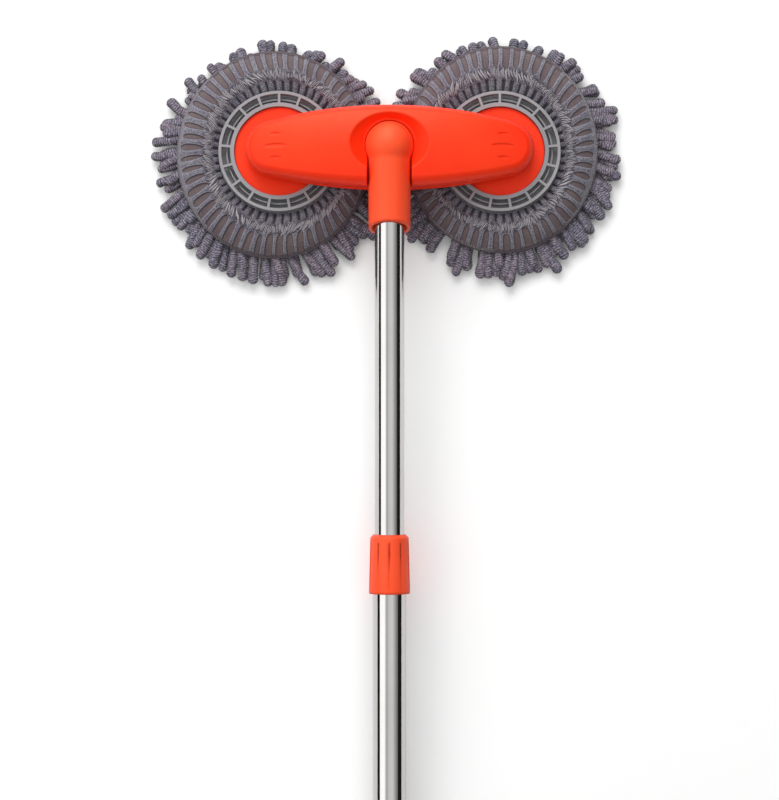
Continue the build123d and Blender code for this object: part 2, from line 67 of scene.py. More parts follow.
# Where each head's outer side lies, as an angle from +X

outer_sides = {"left": pi, "right": 0.0}


# Cloth cover: its crown, its oval plan and its strips

cloth_start_radius = 46.3 * mm
cloth_crown_radius = 58.5 * mm
cloth_crown_rise = 3.4 * mm
cloth_hem_radius = 76.0 * mm
cloth_hem_drop = 6.3 * mm
cloth_skin = 1.7 * mm
cloth_strips = 52
across_share = 0.957
lengthwise_share = 1.03
hem_shift = {"left": (-4.6 * mm, -0.5 * mm), "right": (1.4 * mm, 3.4 * mm)}
strip_swell = 0.55 * mm
strip_flat_share = 0.3
columns_per_strip = 20
top_rows = 84
low_rows = 16

# Windows, which are squarer towards a head's front and back, and wider open at the hem there

window_inner_radius = 61.3 * mm
window_outer_radius = 75.4 * mm
window_shortening = 2.4 * mm
window_width_share = 0.5
window_widening_share = 0.1
window_depth = 0.9 * mm
window_open_share = 0.45
window_brim = (-0.1 * mm, 0.35 * mm)
outside_window = -1.0 * mm
squarer_span = (0.25, 0.85)
opened_span = (0.5, 0.9)
skew_power = 1.4
skew_power_loss = 0.3
round_power = 2.4
square_power_gain = 2.6
outline_width = 0.3 * mm
outline_depth = 0.25 * mm
edge_distance = 0.75 * mm

# Gaps between the strips at the grey ring

gap_width_share = 0.4
gap_depth = 1.5 * mm
gap_brim = (-0.2 * mm, 0.5 * mm)
gap_end_brim = 0.6 * mm

# Rolled hem, whose edge goes out and down in three steps

hem_width = 2.3 * mm
hem_swell = 0.3 * mm
hem_tone = 0.85
hem_tone_loss = 0.3
hem_roll = [(0.5 * mm, 0.35 * mm), (0.75 * mm, 0.8 * mm), (0.5 * mm, 1.3 * mm)]
outer_side_span = (0.4, 0.8)

# Stitched band and hem stitches. Pairs are limits of random draws, and strays are plain millimetres

stitch_inner_radius = 53.8 * mm
stitch_outer_radius = 61.8 * mm
stitch_swell = 0.45 * mm
stitch_shift = 4.2 * mm
stitch_lean = 0.05
stitch_teeth = 168
thread_radius = 0.26 * mm
thread_end_share = 0.3
tooth_drift = (-0.12, 0.12)
tooth_inner_stray = (-1.2, 2.6)
tooth_outer_stray = (-2.8, 1.2)
tooth_half_width = (0.18, 0.28)
tooth_thickness = (0.7, 1.2)
tooth_return_share = 0.85
tooth_lift_share = 0.6
tooth_points = 5
fine_sway_share = 0.7
loose_sway_share = 0.3
hem_stitch_sectors = {"left": [(180, 48)], "right": [(0, 48), (243, 22)]}
hem_stitch_step = 0.95
hem_stitch_drift = (-0.2, 0.2)
hem_stitch_turn = 0.02
hem_stitch_start = window_outer_radius - 1.2 * mm
hem_stitch_end = cloth_hem_radius + 0.1 * mm
hem_stitch_lift = 0.05 * mm
hem_thread_share = 0.6
hem_stitch_points = 4
hem_stitch_sides = 4

# Chenille fingers: wrinkles across them, slow waves, lumps, and a random fluff in plain millimetres

finger_radius = 3.85 * mm
finger_flatness = 0.86
finger_sides = 12
ring_step = 0.5 * mm
wrinkle_pitch = 1.75 * mm
wrinkle_depth = 0.5 * mm
wave_sizes = (0.5 * mm, 0.3 * mm)
drift_size = 0.5 * mm
drift_length = 6.0 * mm
lump_sizes = (0.22 * mm, 0.16 * mm)
lump_lengths = (2.9 * mm, 1.7 * mm)
fluff_spread = 0.07
blunt_share = 0.985
root_swell = 0.92
tip_swell_gain = 0.13
end_crest = 0.3
least_height = 0.05 * mm

# Fringe. Its overhang past the hem, the strays of its tips and each layer's short are plain millimetres

overhang = 19.0
overhang_back_loss = 10.5
overhang_front_gain = 3.5
overhang_spread = 2.6
least_overhang = 3.0 * mm
farthest_reach = 102.0 * mm
between_heads_share = 0.2
between_heads_room = 2.0 * mm
combing = {"left": (0.32, -0.26), "right": (-0.06, -0.6)}
fringe_drift = (-0.3, 0.3)
shortening = (0.3, 1.5)
lean_spread = 0.1
curl_spread = 0.16
tip_inset_share = 0.4
rise_share = (0.3, 1.0)
tip_stray = (-0.4, 1.4)
root_pull_share = 0.4
tip_pull_share = 0.35
fringe_hump = 0.8 * mm
fringe_curve_points = 40
fringe_tone_sway = 0.35
fringe_tone_spread = 0.18
fringe_thickness = (0.9, 1.08)
fringe_layers = [
    {"count": 58, "root": 60.0 * mm, "low": 3.4 * mm, "rise": 0.2 * mm, "tip": 3.4 * mm, "short": 5.0},
    {"count": 60, "root": 58.0 * mm, "low": 5.2 * mm, "rise": 1.6 * mm, "tip": 5.0 * mm, "short": 0.0},
    {"count": 15, "root": 60.0 * mm, "low": 7.0 * mm, "rise": 2.0 * mm, "tip": 7.4 * mm, "short": 7.0},
]

# Pile: rings of fingers that hang down and then lie on the floor. Their reach is in plain millimetres

pile_finger_radius = 3.3 * mm
pile_ring_count = 6
pile_ring_spacing = 9.2 * mm
pile_first_radius = 4.0 * mm
pile_finger_spacing = 7.6 * mm
fewest_in_ring = 3
pile_drift = (-0.2, 0.2)
pile_heading_spread = 0.3
pile_reach = (11.0, 15.0)
pile_bends = [(0.1, 4.0 * mm), (0.55, 3.0 * mm), (1.0, 3.0 * mm)]
pile_curve_points = 30
pile_tone_spread = 0.25
pile_thickness = (0.92, 1.06)

# Backing: a padded disc, given as shares of its radius and heights

backing_radius = 61.5 * mm
backing_low = 9.6 * mm
backing_high = 12.6 * mm
backing_columns = 180
channel_depth = 0.25 * mm
channel_count = 24
pile_root_height = backing_low + 1.4 * mm
backing_outline = [
    (0.08, backing_high + 2.2 * mm),
    (0.3, backing_high + 2.0 * mm),
    (0.55, backing_high + 1.6 * mm),
    (0.8, backing_high + 0.8 * mm),
    (0.94, backing_high),
    (1.0, (backing_high + backing_low) / 2),
    (0.94, backing_low),
    (0.8, backing_low + 0.4 * mm),
    (0.55, backing_low),
    (0.3, backing_low + 0.4 * mm),
    (0.08, backing_low),
]

# Seeds of the random draws; the right head adds one to each

cloth_seed = 11
stitch_seed = 21
fringe_seed = 31
pile_seed = 41


# Colours, linear light

white = (1.0, 1.0, 1.0)
orange = (0.95, 0.021, 0.001)
orange_light = (0.96, 0.03, 0.002)
# The neck's lighter orange is a painted highlight on the knuckle and barrel
painted_highlight_neck_orange = (0.96, 0.07, 0.02)
painted_highlight_neck_orange_light = (0.97, 0.084, 0.027)
gloss_tint = (1.0, 0.78, 0.5)
grey = (0.25, 0.248, 0.262)
grey_light = (0.3, 0.297, 0.312)
natural = (0.72, 0.7, 0.66)
natural_light = (0.78, 0.77, 0.74)
chrome = (0.575, 0.563, 0.556)
chrome_dull = (0.54, 0.526, 0.517)
steel = (0.52, 0.52, 0.53)
steel_dull = (0.4, 0.4, 0.41)
strip_grey = (0.078, 0.075, 0.096)
strip_light = (0.265, 0.255, 0.295)
blotch_dark = (0.8, 0.76, 0.84)
blotch_light = (1.06, 1.05, 1.03)
hem_brown = (0.075, 0.052, 0.06)
window_brown = (0.115, 0.084, 0.087)
window_light = (0.165, 0.125, 0.124)
outline_dark = (0.026, 0.02, 0.026)
# Painted shade in the sunk gaps between the strips
gap_painted_shade = (0.045, 0.036, 0.04)
thread_grey = (0.16, 0.15, 0.175)
thread_light = (0.56, 0.54, 0.56)
chenille_violet = (0.17, 0.135, 0.175)
chenille_blue = (0.105, 0.106, 0.148)
# The chenille's light colour is a painted highlight and its dark colour is painted shade
chenille_painted_highlight = (0.37, 0.33, 0.385)
chenille_painted_shade = (0.012, 0.01, 0.018)
paper = (0.9, 0.9, 0.9)
paper_light = (0.92, 0.92, 0.915)


# Materials

def colour(value):
    return value if isinstance(value, bpy.types.NodeSocket) else (*value, 1.0)


class Network:
    """The nodes of a material or of the world, added one at a time."""

    def __init__(self, owner):
        owner.use_nodes = True
        self.tree = owner.node_tree
        self.tree.nodes.clear()

    def give(self, socket, value):
        """Links a socket to another, or sets its own value."""
        if isinstance(value, bpy.types.NodeSocket):
            self.tree.links.new(value, socket)
        else:
            socket.default_value = value

    def node(self, kind, inputs=(), **settings):
        made = self.tree.nodes.new(kind)
        for key, value in settings.items():
            setattr(made, key, value)
        for key, value in dict(inputs).items():
            self.give(made.inputs[key], value)
        return made

    def place(self):
        return self.node("ShaderNodeTexCoord").outputs["Object"]

    def attribute(self, name, output="Fac"):
        return self.node("ShaderNodeAttribute", attribute_name=name).outputs[output]

    def noise(self, scale, detail=3.0, where=None, roughness=0.55):
        inputs = {"Vector": where or self.place(), "Scale": scale, "Detail": detail, "Roughness": roughness}
        return self.node("ShaderNodeTexNoise", inputs).outputs["Fac"]

    def bands(self, direction, where, scale, distortion, detail, detail_scale=1.0):
        inputs = {"Vector": where, "Scale": scale, "Distortion": distortion}
        inputs.update({"Detail": detail, "Detail Scale": detail_scale})
        settings = {"wave_type": "BANDS", "bands_direction": direction}
        return self.node("ShaderNodeTexWave", inputs, **settings).outputs["Fac"]

    def span(self, value, low, high, to_low=0.0, to_high=1.0):
        inputs = {"Value": value, "From Min": low, "From Max": high, "To Min": to_low, "To Max": to_high}
        return self.node("ShaderNodeMapRange", inputs).outputs["Result"]

    def mix(self, share, first, second, **settings):
        inputs = {0: share, 6: colour(first), 7: colour(second)}
        return self.node("ShaderNodeMix", inputs, data_type="RGBA", **settings).outputs[2]

    def reckon(self, operation, *values):
        return self.node("ShaderNodeMath", dict(enumerate(values)), operation=operation).outputs[0]

    def times(self, first, second):
        return self.reckon("MULTIPLY", first, second)

    def plus(self, first, second):
        return self.reckon("ADD", first, second)

    def bump(self, height, strength, distance, normal=None):
        inputs = {"Height": height, "Strength": strength, "Distance": distance}
        if normal:
            inputs["Normal"] = normal
        return self.node("ShaderNodeBump", inputs).outputs["Normal"]

    def soft_edges(self, radius, samples):
        return self.node("ShaderNodeBevel", {"Radius": radius}, samples=samples).outputs["Normal"]

    def ramp(self, share, stops):
        """Grey levels at places along a share from 0 to 1."""
        made = self.node("ShaderNodeValToRGB", {"Fac": share})
        bar = made.color_ramp.elements
        for place, level in stops[:-2]:
            bar.new(place)
        for element, (place, level) in zip(bar, stops):
            element.position = place
            element.color = (level, level, level, 1.0)
        return made.outputs["Color"]


class Recipe(Network):
    """One material with a single shader."""

    def __init__(self, name):
        self.material = bpy.data.materials.new(name)
        super().__init__(self.material)
        self.shader = self.node("ShaderNodeBsdfPrincipled")
        self.node("ShaderNodeOutputMaterial", {"Surface": self.shader.outputs["BSDF"]})

    def set(self, **inputs):
        """Values on the shader's own sockets; words joined by _ stand for spaces."""
        for key, value in inputs.items():
            self.give(self.shader.inputs[key.replace("_", " ")], value)


def moulded_plastic(name, base, light, roughness, grain, gloss=white, edge=0.35 * mm, samples=6):
    """Moulded plastic: cloudy colour, a fine pebbled skin and softened edges."""
    recipe = Recipe(name)
    cloud = recipe.noise(scale=22.0, detail=2.0)
    skin = recipe.noise(scale=grain, detail=2.0)
    scuff = recipe.noise(scale=160.0, detail=4.0, roughness=0.7)
    tint = recipe.span(cloud, 0.35, 0.7)
    worn = recipe.span(scuff, 0.35, 0.75, roughness - 0.05, roughness + 0.07)
    edges = recipe.soft_edges(edge, samples)
    recipe.set(
        Base_Color=recipe.mix(tint, base, light),
        Roughness=worn,
        Normal=recipe.bump(skin, strength=0.22, distance=0.12 * mm, normal=edges),
        Specular_IOR_Level=0.45,
        Specular_Tint=colour(gloss),
    )
    return recipe.material


def polished_tube(name):
    """Chromed tube: fine draw lines along its length and faint smears."""
    recipe = Recipe(name)
    drawn_out = recipe.node("ShaderNodeMapping", {"Vector": recipe.place(), "Scale": (1.0, 0.01, 1.0)})
    lines = recipe.noise(scale=2600.0, detail=2.0, where=drawn_out.outputs["Vector"])
    smear = recipe.noise(scale=35.0, detail=4.0)
    recipe.set(
        Base_Color=recipe.mix(recipe.span(smear, 0.3, 0.7), chrome, chrome_dull),
        Metallic=1.0,
        Roughness=recipe.span(smear, 0.3, 0.75, 0.05, 0.1),
        Normal=recipe.bump(lines, strength=0.08, distance=0.05 * mm),
    )
    return recipe.material


def plated_steel(name):
    """Zinc-plated screws and pins, a little cloudy."""
    recipe = Recipe(name)
    cloud = recipe.noise(scale=420.0, detail=4.0)
    recipe.set(
        Base_Color=recipe.mix(cloud, steel, steel_dull),
        Metallic=1.0,
        Roughness=recipe.span(cloud, 0.3, 0.7, 0.24, 0.4),
        Normal=recipe.bump(cloud, strength=0.1, distance=0.08 * mm),
    )
    return recipe.material


def knitted_cloth(name):
    """Speckled grey strips with smoother brown windows between them, dark outlines, and gaps darkened with
    painted shade.
    """
    recipe = Recipe(name)
    speck = recipe.noise(scale=1050.0, detail=4.0, roughness=0.75)
    blotch = recipe.noise(scale=70.0, detail=3.0)
    out = recipe.attribute("from_middle")
    across = recipe.attribute("from_strip")
    knit = recipe.node("ShaderNodeCombineXYZ", {"X": across, "Y": out}).outputs["Vector"]
    rows = recipe.bands("Y", knit, scale=210.0, distortion=2.2, detail=2.0)
    strip = recipe.mix(recipe.span(speck, 0.43, 0.59), strip_grey, strip_light)
    shade = recipe.mix(recipe.span(blotch, 0.3, 0.7), blotch_dark, blotch_light)
    brown = recipe.mix(recipe.span(speck, 0.35, 0.65), window_brown, window_light)
    surface = recipe.mix(recipe.attribute("window"), strip, brown)
    toned = recipe.mix(1.0, surface, shade, blend_type="MULTIPLY")
    edged = recipe.mix(recipe.times(recipe.attribute("edge"), 0.75), toned, strip_light)
    hemmed = recipe.mix(recipe.attribute("hem"), edged, hem_brown)
    # The gaps between the strips are darkened with painted shade
    gaps = recipe.mix(recipe.times(recipe.attribute("gap"), 0.92), hemmed, gap_painted_shade)
    between_stitches = recipe.times(recipe.attribute("stitched"), recipe.span(speck, 0.4, 0.56, 0.95, 0.5))
    sewn = recipe.mix(between_stitches, gaps, outline_dark)
    lined = recipe.mix(recipe.attribute("outline"), sewn, outline_dark)
    height = recipe.plus(recipe.times(rows, 0.5), speck)
    recipe.set(
        Base_Color=lined,
        Roughness=0.92,
        Normal=recipe.bump(height, strength=0.75, distance=0.4 * mm),
        Sheen_Weight=0.25,
        Sheen_Roughness=0.5,
        Specular_IOR_Level=0.2,
    )
    return recipe.material


def chenille_yarn(name):
    """Soft chenille: grey-violet to blue-grey, crossed by wrinkles with painted shade in them and painted
    highlights as short light lines on their crests, and painted shade on each finger's flanks and underside.
    """
    recipe = Recipe(name)
    yarn = recipe.attribute("yarn", "Vector")
    speck = recipe.noise(scale=1100.0, detail=4.0, where=yarn, roughness=0.75)
    loops = recipe.noise(scale=620.0, detail=3.0, where=yarn, roughness=0.65)
    cloud = recipe.noise(scale=160.0, detail=2.0, where=yarn)
    lines = recipe.bands(
        "Z", yarn, scale=0.1 * pi / wrinkle_pitch, distortion=4.5, detail=3.0, detail_scale=1.4,
    )
    tint = recipe.plus(recipe.attribute("tone"), recipe.span(cloud, 0.3, 0.7, -0.25, 0.25))
    body = recipe.mix(tint, chenille_blue, chenille_violet)
    # Painted highlight: short light lines on the wrinkle crests
    ridge_painted_highlight = recipe.times(recipe.span(lines, 0.35, 0.85, 0.15, 1.0), recipe.span(loops, 0.42, 0.6))
    lit = recipe.mix(ridge_painted_highlight, body, chenille_painted_highlight)
    # Painted shade: the wrinkle valleys are darkened
    valleys = recipe.span(lines, 0.05, 0.45, 1.0, 0.0)
    valley_painted_shade = recipe.times(valleys, recipe.span(loops, 0.4, 0.58, 1.0, 0.1))
    sunk = recipe.mix(recipe.times(valley_painted_shade, 0.8), lit, chenille_painted_shade)
    # Painted shade: each finger gets darker on its flanks and underside, by how far it faces up
    upward = recipe.plus(recipe.attribute("crest"), recipe.times(loops, 0.5))
    flank_painted_shade = recipe.span(upward, 0.45, 1.15, 0.94, 0.0)
    shaded = recipe.mix(flank_painted_shade, sunk, chenille_painted_shade)
    height = recipe.plus(recipe.times(lines, 0.5), recipe.plus(speck, loops))
    recipe.set(
        Base_Color=shaded,
        Roughness=0.95,
        Normal=recipe.bump(height, strength=0.9, distance=0.5 * mm),
        Sheen_Weight=0.5,
        Sheen_Roughness=0.4,
        Specular_IOR_Level=0.15,
    )
    return recipe.material


def sewing_thread(name):
    """Twisted thread, light and dark along its length."""
    recipe = Recipe(name)
    twist = recipe.noise(scale=2400.0, detail=2.0)
    recipe.set(
        Base_Color=recipe.mix(twist, thread_grey, thread_light),
        Roughness=0.7,
        Normal=recipe.bump(twist, strength=0.5, distance=0.15 * mm),
        Sheen_Weight=0.2,
    )
    return recipe.material


# How strongly the floor shines of itself, near the object and far from it, and where that changes

floor_glow = 0.07
far_glow = 0.6
glow_start = 0.6
glow_end = 1.7


def floor_paper(name):
    """White paper that keeps the object's shadow near it and shines to plain white far away."""
    recipe = Recipe(name)
    fibre = recipe.noise(scale=60.0, detail=3.0)
    path = recipe.node("ShaderNodeLightPath").outputs
    away = recipe.node("ShaderNodeVectorMath", {0: recipe.place()}, operation="LENGTH").outputs["Value"]
    glow = recipe.span(away, glow_start, glow_end, floor_glow, far_glow)
    seen = path["Is Camera Ray"]
    for ray in ("Is Glossy Ray", "Is Transmission Ray"):
        seen = recipe.reckon("MAXIMUM", seen, path[ray])
    recipe.set(
        Base_Color=recipe.mix(fibre, paper, paper_light),
        Roughness=1.0,
        Specular_IOR_Level=0.0,
        Emission_Color=colour(white),
        Emission_Strength=recipe.times(seen, glow),
    )
    return recipe.material


orange_grain = 1500.0
fine_grain = 1300.0
materials = {
    "orange_plastic": moulded_plastic("orange_plastic", orange, orange_light, 0.46, orange_grain, gloss_tint),
    "grey_plastic": moulded_plastic("grey_plastic", grey, grey_light, 0.48, fine_grain),
    "natural_plastic": moulded_plastic("natural_plastic", natural, natural_light, 0.45, fine_grain),
    "chrome_tube": polished_tube("chrome_tube"),
    "screw_steel": plated_steel("screw_steel"),
}
crowned_plastic = moulded_plastic(
    "crowned_plastic", orange, orange_light, 0.46, orange_grain, gloss_tint, edge=2.4 * mm, samples=10,
)
# The neck's barrel and collar take a lighter orange, which is a painted highlight
painted_highlight_neck_plastic = moulded_plastic(
    "painted_highlight_neck_plastic", painted_highlight_neck_orange, painted_highlight_neck_orange_light, 0.5, orange_grain, gloss_tint, edge=3.0 * mm, samples=10,
)
cloth_material = knitted_cloth("knitted_cloth")
yarn_material = chenille_yarn("chenille")
thread_material = sewing_thread("thread")


def finish_frame():
    """Each rigid CAD node takes the material of its slot, and the three softest mouldings take their own; the
    neck's barrel and collar are a lighter orange, which is a painted highlight.
    """
    for part in frame["record"]["subparts"]:
        if part["material_slot"] not in materials:
            continue
        slots = nodes[part["node"]].data.materials
        slots.clear()
        slots.append(materials[part["material_slot"]])
    nodes["arm_upper_shell"].data.materials[0] = crowned_plastic
    nodes["neck_barrel"].data.materials[0] = painted_highlight_neck_plastic
    nodes["lock_collar"].data.materials[0] = painted_highlight_neck_plastic


# Meshes from arrays

class Pile:
    """Gathers closed surfaces into one mesh, with a value of each named attribute for every point."""

    def __init__(self, scalars=(), vectors=()):
        self.points = []
        self.faces = []
        self.count = 0
        self.scalars = {name: [] for name in scalars}
        self.vectors = {name: [] for name in vectors}

    def add(self, points, faces, **values):
        self.points.append(points)
        self.faces.extend((np.array(face) + self.count).tolist() for face in faces)
        self.count += len(points)
        for name, store in {**self.scalars, **self.vectors}.items():
            store.append(values[name])

    def object(self, name, material):
        mesh = bpy.data.meshes.new(name)
        corners = [face for group in self.faces for face in group]
        mesh.from_pydata(np.concatenate(self.points).tolist(), [], corners)
        mesh.polygons.foreach_set("use_smooth", [True] * len(mesh.polygons))
        for key, store in self.scalars.items():
            layer = mesh.attributes.new(key, "FLOAT", "POINT")
            layer.data.foreach_set("value", np.concatenate(store).astype(np.float32))
        for key, store in self.vectors.items():
            layer = mesh.attributes.new(key, "FLOAT_VECTOR", "POINT")
            layer.data.foreach_set("vector", np.concatenate(store).astype(np.float32).ravel())
        mesh.materials.append(material)
        mesh.validate()
        mesh.update()
        made = bpy.data.objects.new(name, mesh)
        bpy.context.scene.collection.objects.link(made)
        return made


def grid_faces(rows, columns, flip=False):
    """Quads of a grid that closes on itself across its columns."""
    row, column = np.meshgrid(np.arange(rows - 1), np.arange(columns), indexing="ij")
    beside = (column + 1) % columns
    start = row * columns
    following = (row + 1) * columns
    corners = [start + column, start + beside, following + beside, following + column]
    if flip:
        corners.reverse()
    return np.stack(corners, axis=-1).reshape(-1, 4)


def fan_faces(pole, ring_start, columns, flip=False):
    """Triangles from one point to a ring."""
    first = ring_start + np.arange(columns)
    second = ring_start + (np.arange(columns) + 1) % columns
    corners = [np.full(columns, pole), first, second]
    if flip:
        corners.reverse()
    return np.stack(corners, axis=-1)


def closed_faces(rows, columns, flip=False):
    """A grid and the two fans that close it, whose poles are the two points after the grid's own."""
    count = rows * columns
    return [
        grid_faces(rows, columns, flip),
        fan_faces(count, 0, columns, not flip),
        fan_faces(count + 1, count - columns, columns, flip),
    ]


def smoothstep(value, low, high):
    share = np.clip((value - low) / (high - low), 0.0, 1.0)
    return share * share * (3.0 - 2.0 * share)


def direction(angle):
    return np.array([cos(angle), sin(angle)])


def bezier(corners, count):
    """Evenly parametrised points of a cubic Bezier curve."""
    t = np.linspace(0.0, 1.0, count)[:, None]
    a, b, c, d = [np.array(corner) for corner in corners]
    return a * (1 - t) ** 3 + 3 * b * t * (1 - t) ** 2 + 3 * c * t * t * (1 - t) + d * t ** 3


def evenly(path, step):
    """The same path with points a steady step apart, and the length to each."""
    along = np.concatenate([[0.0], np.cumsum(np.linalg.norm(np.diff(path, axis=0), axis=1))])
    count = max(4, int(round(along[-1] / step)) + 1)
    marks = np.linspace(0.0, along[-1], count)
    return np.stack([np.interp(marks, along, path[:, axis]) for axis in range(3)], axis=-1), marks


def sweep(path, side, radii, flatness=1.0):
    """Rings of points round a path: radii has a row for each path point and a column for each side."""
    tangent = np.gradient(path, axis=0)
    tangent /= np.linalg.norm(tangent, axis=1, keepdims=True)
    side = np.array(side) - tangent * (tangent @ np.array(side))[:, None]
    side /= np.linalg.norm(side, axis=1, keepdims=True)
    up = np.cross(side, tangent)
    angle = np.arange(radii.shape[1]) * tau / radii.shape[1]
    sideways = side[:, None, :] * np.cos(angle)[None, :, None]
    upwards = up[:, None, :] * (flatness * np.sin(angle))[None, :, None]
    rings = path[:, None, :] + radii[:, :, None] * (sideways + upwards)
    return rings.reshape(-1, 3)


# Cloth cover

def base_height(radius):
    """Height of the cloth's top before its relief, reckoned from the grey ring's underside."""
    inside = (cloth_crown_radius - radius) / (cloth_crown_radius - cloth_start_radius)
    outside = (radius - cloth_crown_radius) / (cloth_hem_radius - cloth_crown_radius)
    crown = cloth_crown_rise * (1.0 - np.clip(inside, 0.0, 1.0) ** 2)
    return ring_low + crown - (cloth_crown_rise + cloth_hem_drop) * np.clip(outside, 0.0, None) ** 2


def stitch_offset(angle, outward):
    """The stitched band comes nearer to the ring on the head's outer side."""
    facing = np.clip(np.cos(angle - outward), 0.0, 1.0)
    return -stitch_shift * facing ** 2


def oval(radius, angle, side):
    """Plan place of a point of the cloth: longer than it is wide, and not quite centred on its ring."""
    share = smoothstep(radius, cloth_start_radius, cloth_hem_radius)
    across = 1.0 + (across_share - 1.0) * share
    lengthwise = 1.0 + (lengthwise_share - 1.0) * share
    aside, ahead = hem_shift[side]
    return (
        heads[side].x + radius * np.cos(angle) * across + aside * share,
        heads[side].y + radius * np.sin(angle) * lengthwise + ahead * share,
    )


def strip_place(angle):
    """Place across the pattern, from -0.5 to 0.5 with a window's middle at 0, and the window's number."""
    turns = angle / tau * cloth_strips
    number = np.floor(turns)
    return turns - number - 0.5, number.astype(int) % cloth_strips


def window_shape(radius, angle, number, outward, varied):
    """Where a window starts, how far along it a place is, and its half width in shares of the pitch."""
    lengthwise = np.abs(np.sin(angle))
    squarer = smoothstep(lengthwise, *squarer_span)
    opened = smoothstep(lengthwise, *opened_span)
    inner = window_inner_radius + stitch_offset(angle, outward) + varied["inner"][number]
    shortened = window_outer_radius - window_shortening * (1.0 - squarer)
    outer = shortened + varied["outer"][number] * (1.0 - opened)
    along = np.clip((radius - inner) / (outer - inner), 0.0, 1.0)
    skew = 2.0 * along ** (skew_power - skew_power_loss * squarer) - 1.0
    skew = np.where(skew > 0.0, skew * (1.0 - window_open_share * opened), skew)
    power = round_power + square_power_gain * squarer
    widest = (window_width_share + window_widening_share * squarer) / 2 * varied["width"][number]
    half = widest * np.sqrt(np.clip(1.0 - np.abs(skew) ** power, 0.0, 1.0))
    return inner, along, half


def cloth_relief(radius, angle, outward, varied):
    """Relief of the cloth and its masks: raised strips, sunk windows, inner gaps and the stitched band."""
    place, number = strip_place(angle)
    pitch = tau * radius / cloth_strips
    shift = stitch_offset(angle, outward)
    inner, along, half = window_shape(radius, angle, number, outward, varied)
    into_window = (half - np.abs(place + varied["lean"][number] * (along - 0.5))) * pitch
    into_window = np.where((along > 0.0) & (along < 1.0), into_window, outside_window)
    window = smoothstep(into_window, *window_brim)
    outline = np.exp(-((into_window / outline_width) ** 2)) * (radius > inner)
    edge = np.exp(-(((into_window + edge_distance) / outline_width) ** 2)) * (radius > inner)

    gap_end = stitch_inner_radius + shift + varied["gap_end"][number]
    in_gap = smoothstep(gap_end - radius, -gap_end_brim, gap_end_brim)
    into_gap = (gap_width_share / 2 * varied["gap_width"][number] - np.abs(place)) * pitch
    gap = smoothstep(into_gap, *gap_brim) * in_gap

    band_middle = (stitch_inner_radius + stitch_outer_radius) / 2 + shift
    band_half = (stitch_outer_radius - stitch_inner_radius) / 2
    band = np.exp(-(((radius - band_middle) / band_half) ** 4))

    strip = np.clip(np.abs(place) * 2.0, 0.0, 1.0)
    rounded = strip_swell * smoothstep(strip, strip_flat_share, 1.0) * (1.0 - band)
    facing = smoothstep(np.cos(angle - outward), *outer_side_span)
    rolled = smoothstep(radius, cloth_hem_radius - hem_width, cloth_hem_radius - hem_width / 2)
    relief = rounded * (1.0 - rolled) + stitch_swell * band + hem_swell * rolled * facing
    relief = relief - window_depth * window * (1.0 - rolled) - gap_depth * gap - outline_depth * outline
    hem = rolled * (hem_tone - hem_tone_loss * facing)
    masks = {"window": window, "outline": outline, "edge": edge, "gap": gap, "stitched": band, "hem": hem}
    return relief, masks, place


cloth_masks = ("window", "outline", "edge", "gap", "stitched", "hem", "from_middle", "from_strip")


def strip_variation(seed):
    """How each strip and its window stray from the pattern."""
    dice = np.random.default_rng(seed)
    return {
        "inner": dice.normal(0.0, 0.9, cloth_strips) * mm,
        "outer": dice.normal(0.0, 0.4, cloth_strips) * mm,
        "width": dice.uniform(0.72, 1.15, cloth_strips),
        "lean": dice.normal(0.0, 0.07, cloth_strips),
        "gap_end": dice.normal(0.0, 0.5, cloth_strips) * mm,
        "gap_width": dice.uniform(0.75, 1.2, cloth_strips),
    }


def cloth_rows(angle, outward, varied):
    """Rows of the cover from the ring out to the hem and back below it, and the masks of all their points."""
    columns = len(angle)
    rows = []
    masks = {key: [] for key in cloth_masks}
    for radius in np.linspace(cloth_start_radius, cloth_hem_radius, top_rows):
        relief, keep, place = cloth_relief(radius, angle, outward, varied)
        rows.append((radius, base_height(radius) + relief))
        keep["from_middle"] = np.full(columns, radius)
        keep["from_strip"] = np.abs(place) * tau * radius / cloth_strips
        for key, value in keep.items():
            masks[key].append(value)
    for out, down in hem_roll:
        rows.append((cloth_hem_radius + out, np.full(columns, base_height(cloth_hem_radius) - down)))
    for radius in np.linspace(cloth_hem_radius, cloth_start_radius, low_rows):
        rows.append((radius, np.full(columns, base_height(radius) - cloth_skin - window_depth)))
    for key in masks:
        fill = hem_tone if key == "hem" else 0.0
        masks[key].extend([np.full(columns, fill)] * (len(rows) - top_rows))
    return rows, {key: np.concatenate(value) for key, value in masks.items()}


def cloth_cover(side, outward, varied):
    """One head's knitted cover: a closed skin from the ring to its rolled hem."""
    columns = cloth_strips * columns_per_strip
    angle = np.arange(columns) * tau / columns
    rows, masks = cloth_rows(angle, outward, varied)
    points = [np.stack([*oval(radius, angle, side), height], axis=-1) for radius, height in rows]
    column = np.arange(columns)
    beside = (column + 1) % columns
    last = (len(rows) - 1) * columns
    closing = np.stack([last + column, last + beside, beside, column], axis=-1)
    pile = Pile(scalars=cloth_masks)
    pile.add(np.concatenate(points), [grid_faces(len(rows), columns), closing], **masks)
    piece = pile.object(side + "_cloth", cloth_material)
    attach(piece, side + "_head")
    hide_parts(side + "_cloth_cover")


# Stitching

def thread(pile, path, radius, sides):
    """A thin closed tube along a path."""
    radii = np.full((len(path), sides), radius)
    radii[0] = radii[-1] = radius * thread_end_share
    points = sweep(path, (0.0, 0.0, 1.0), radii)
    pile.add(np.concatenate([points, [path[0], path[-1]]]), closed_faces(len(path), sides, flip=True))


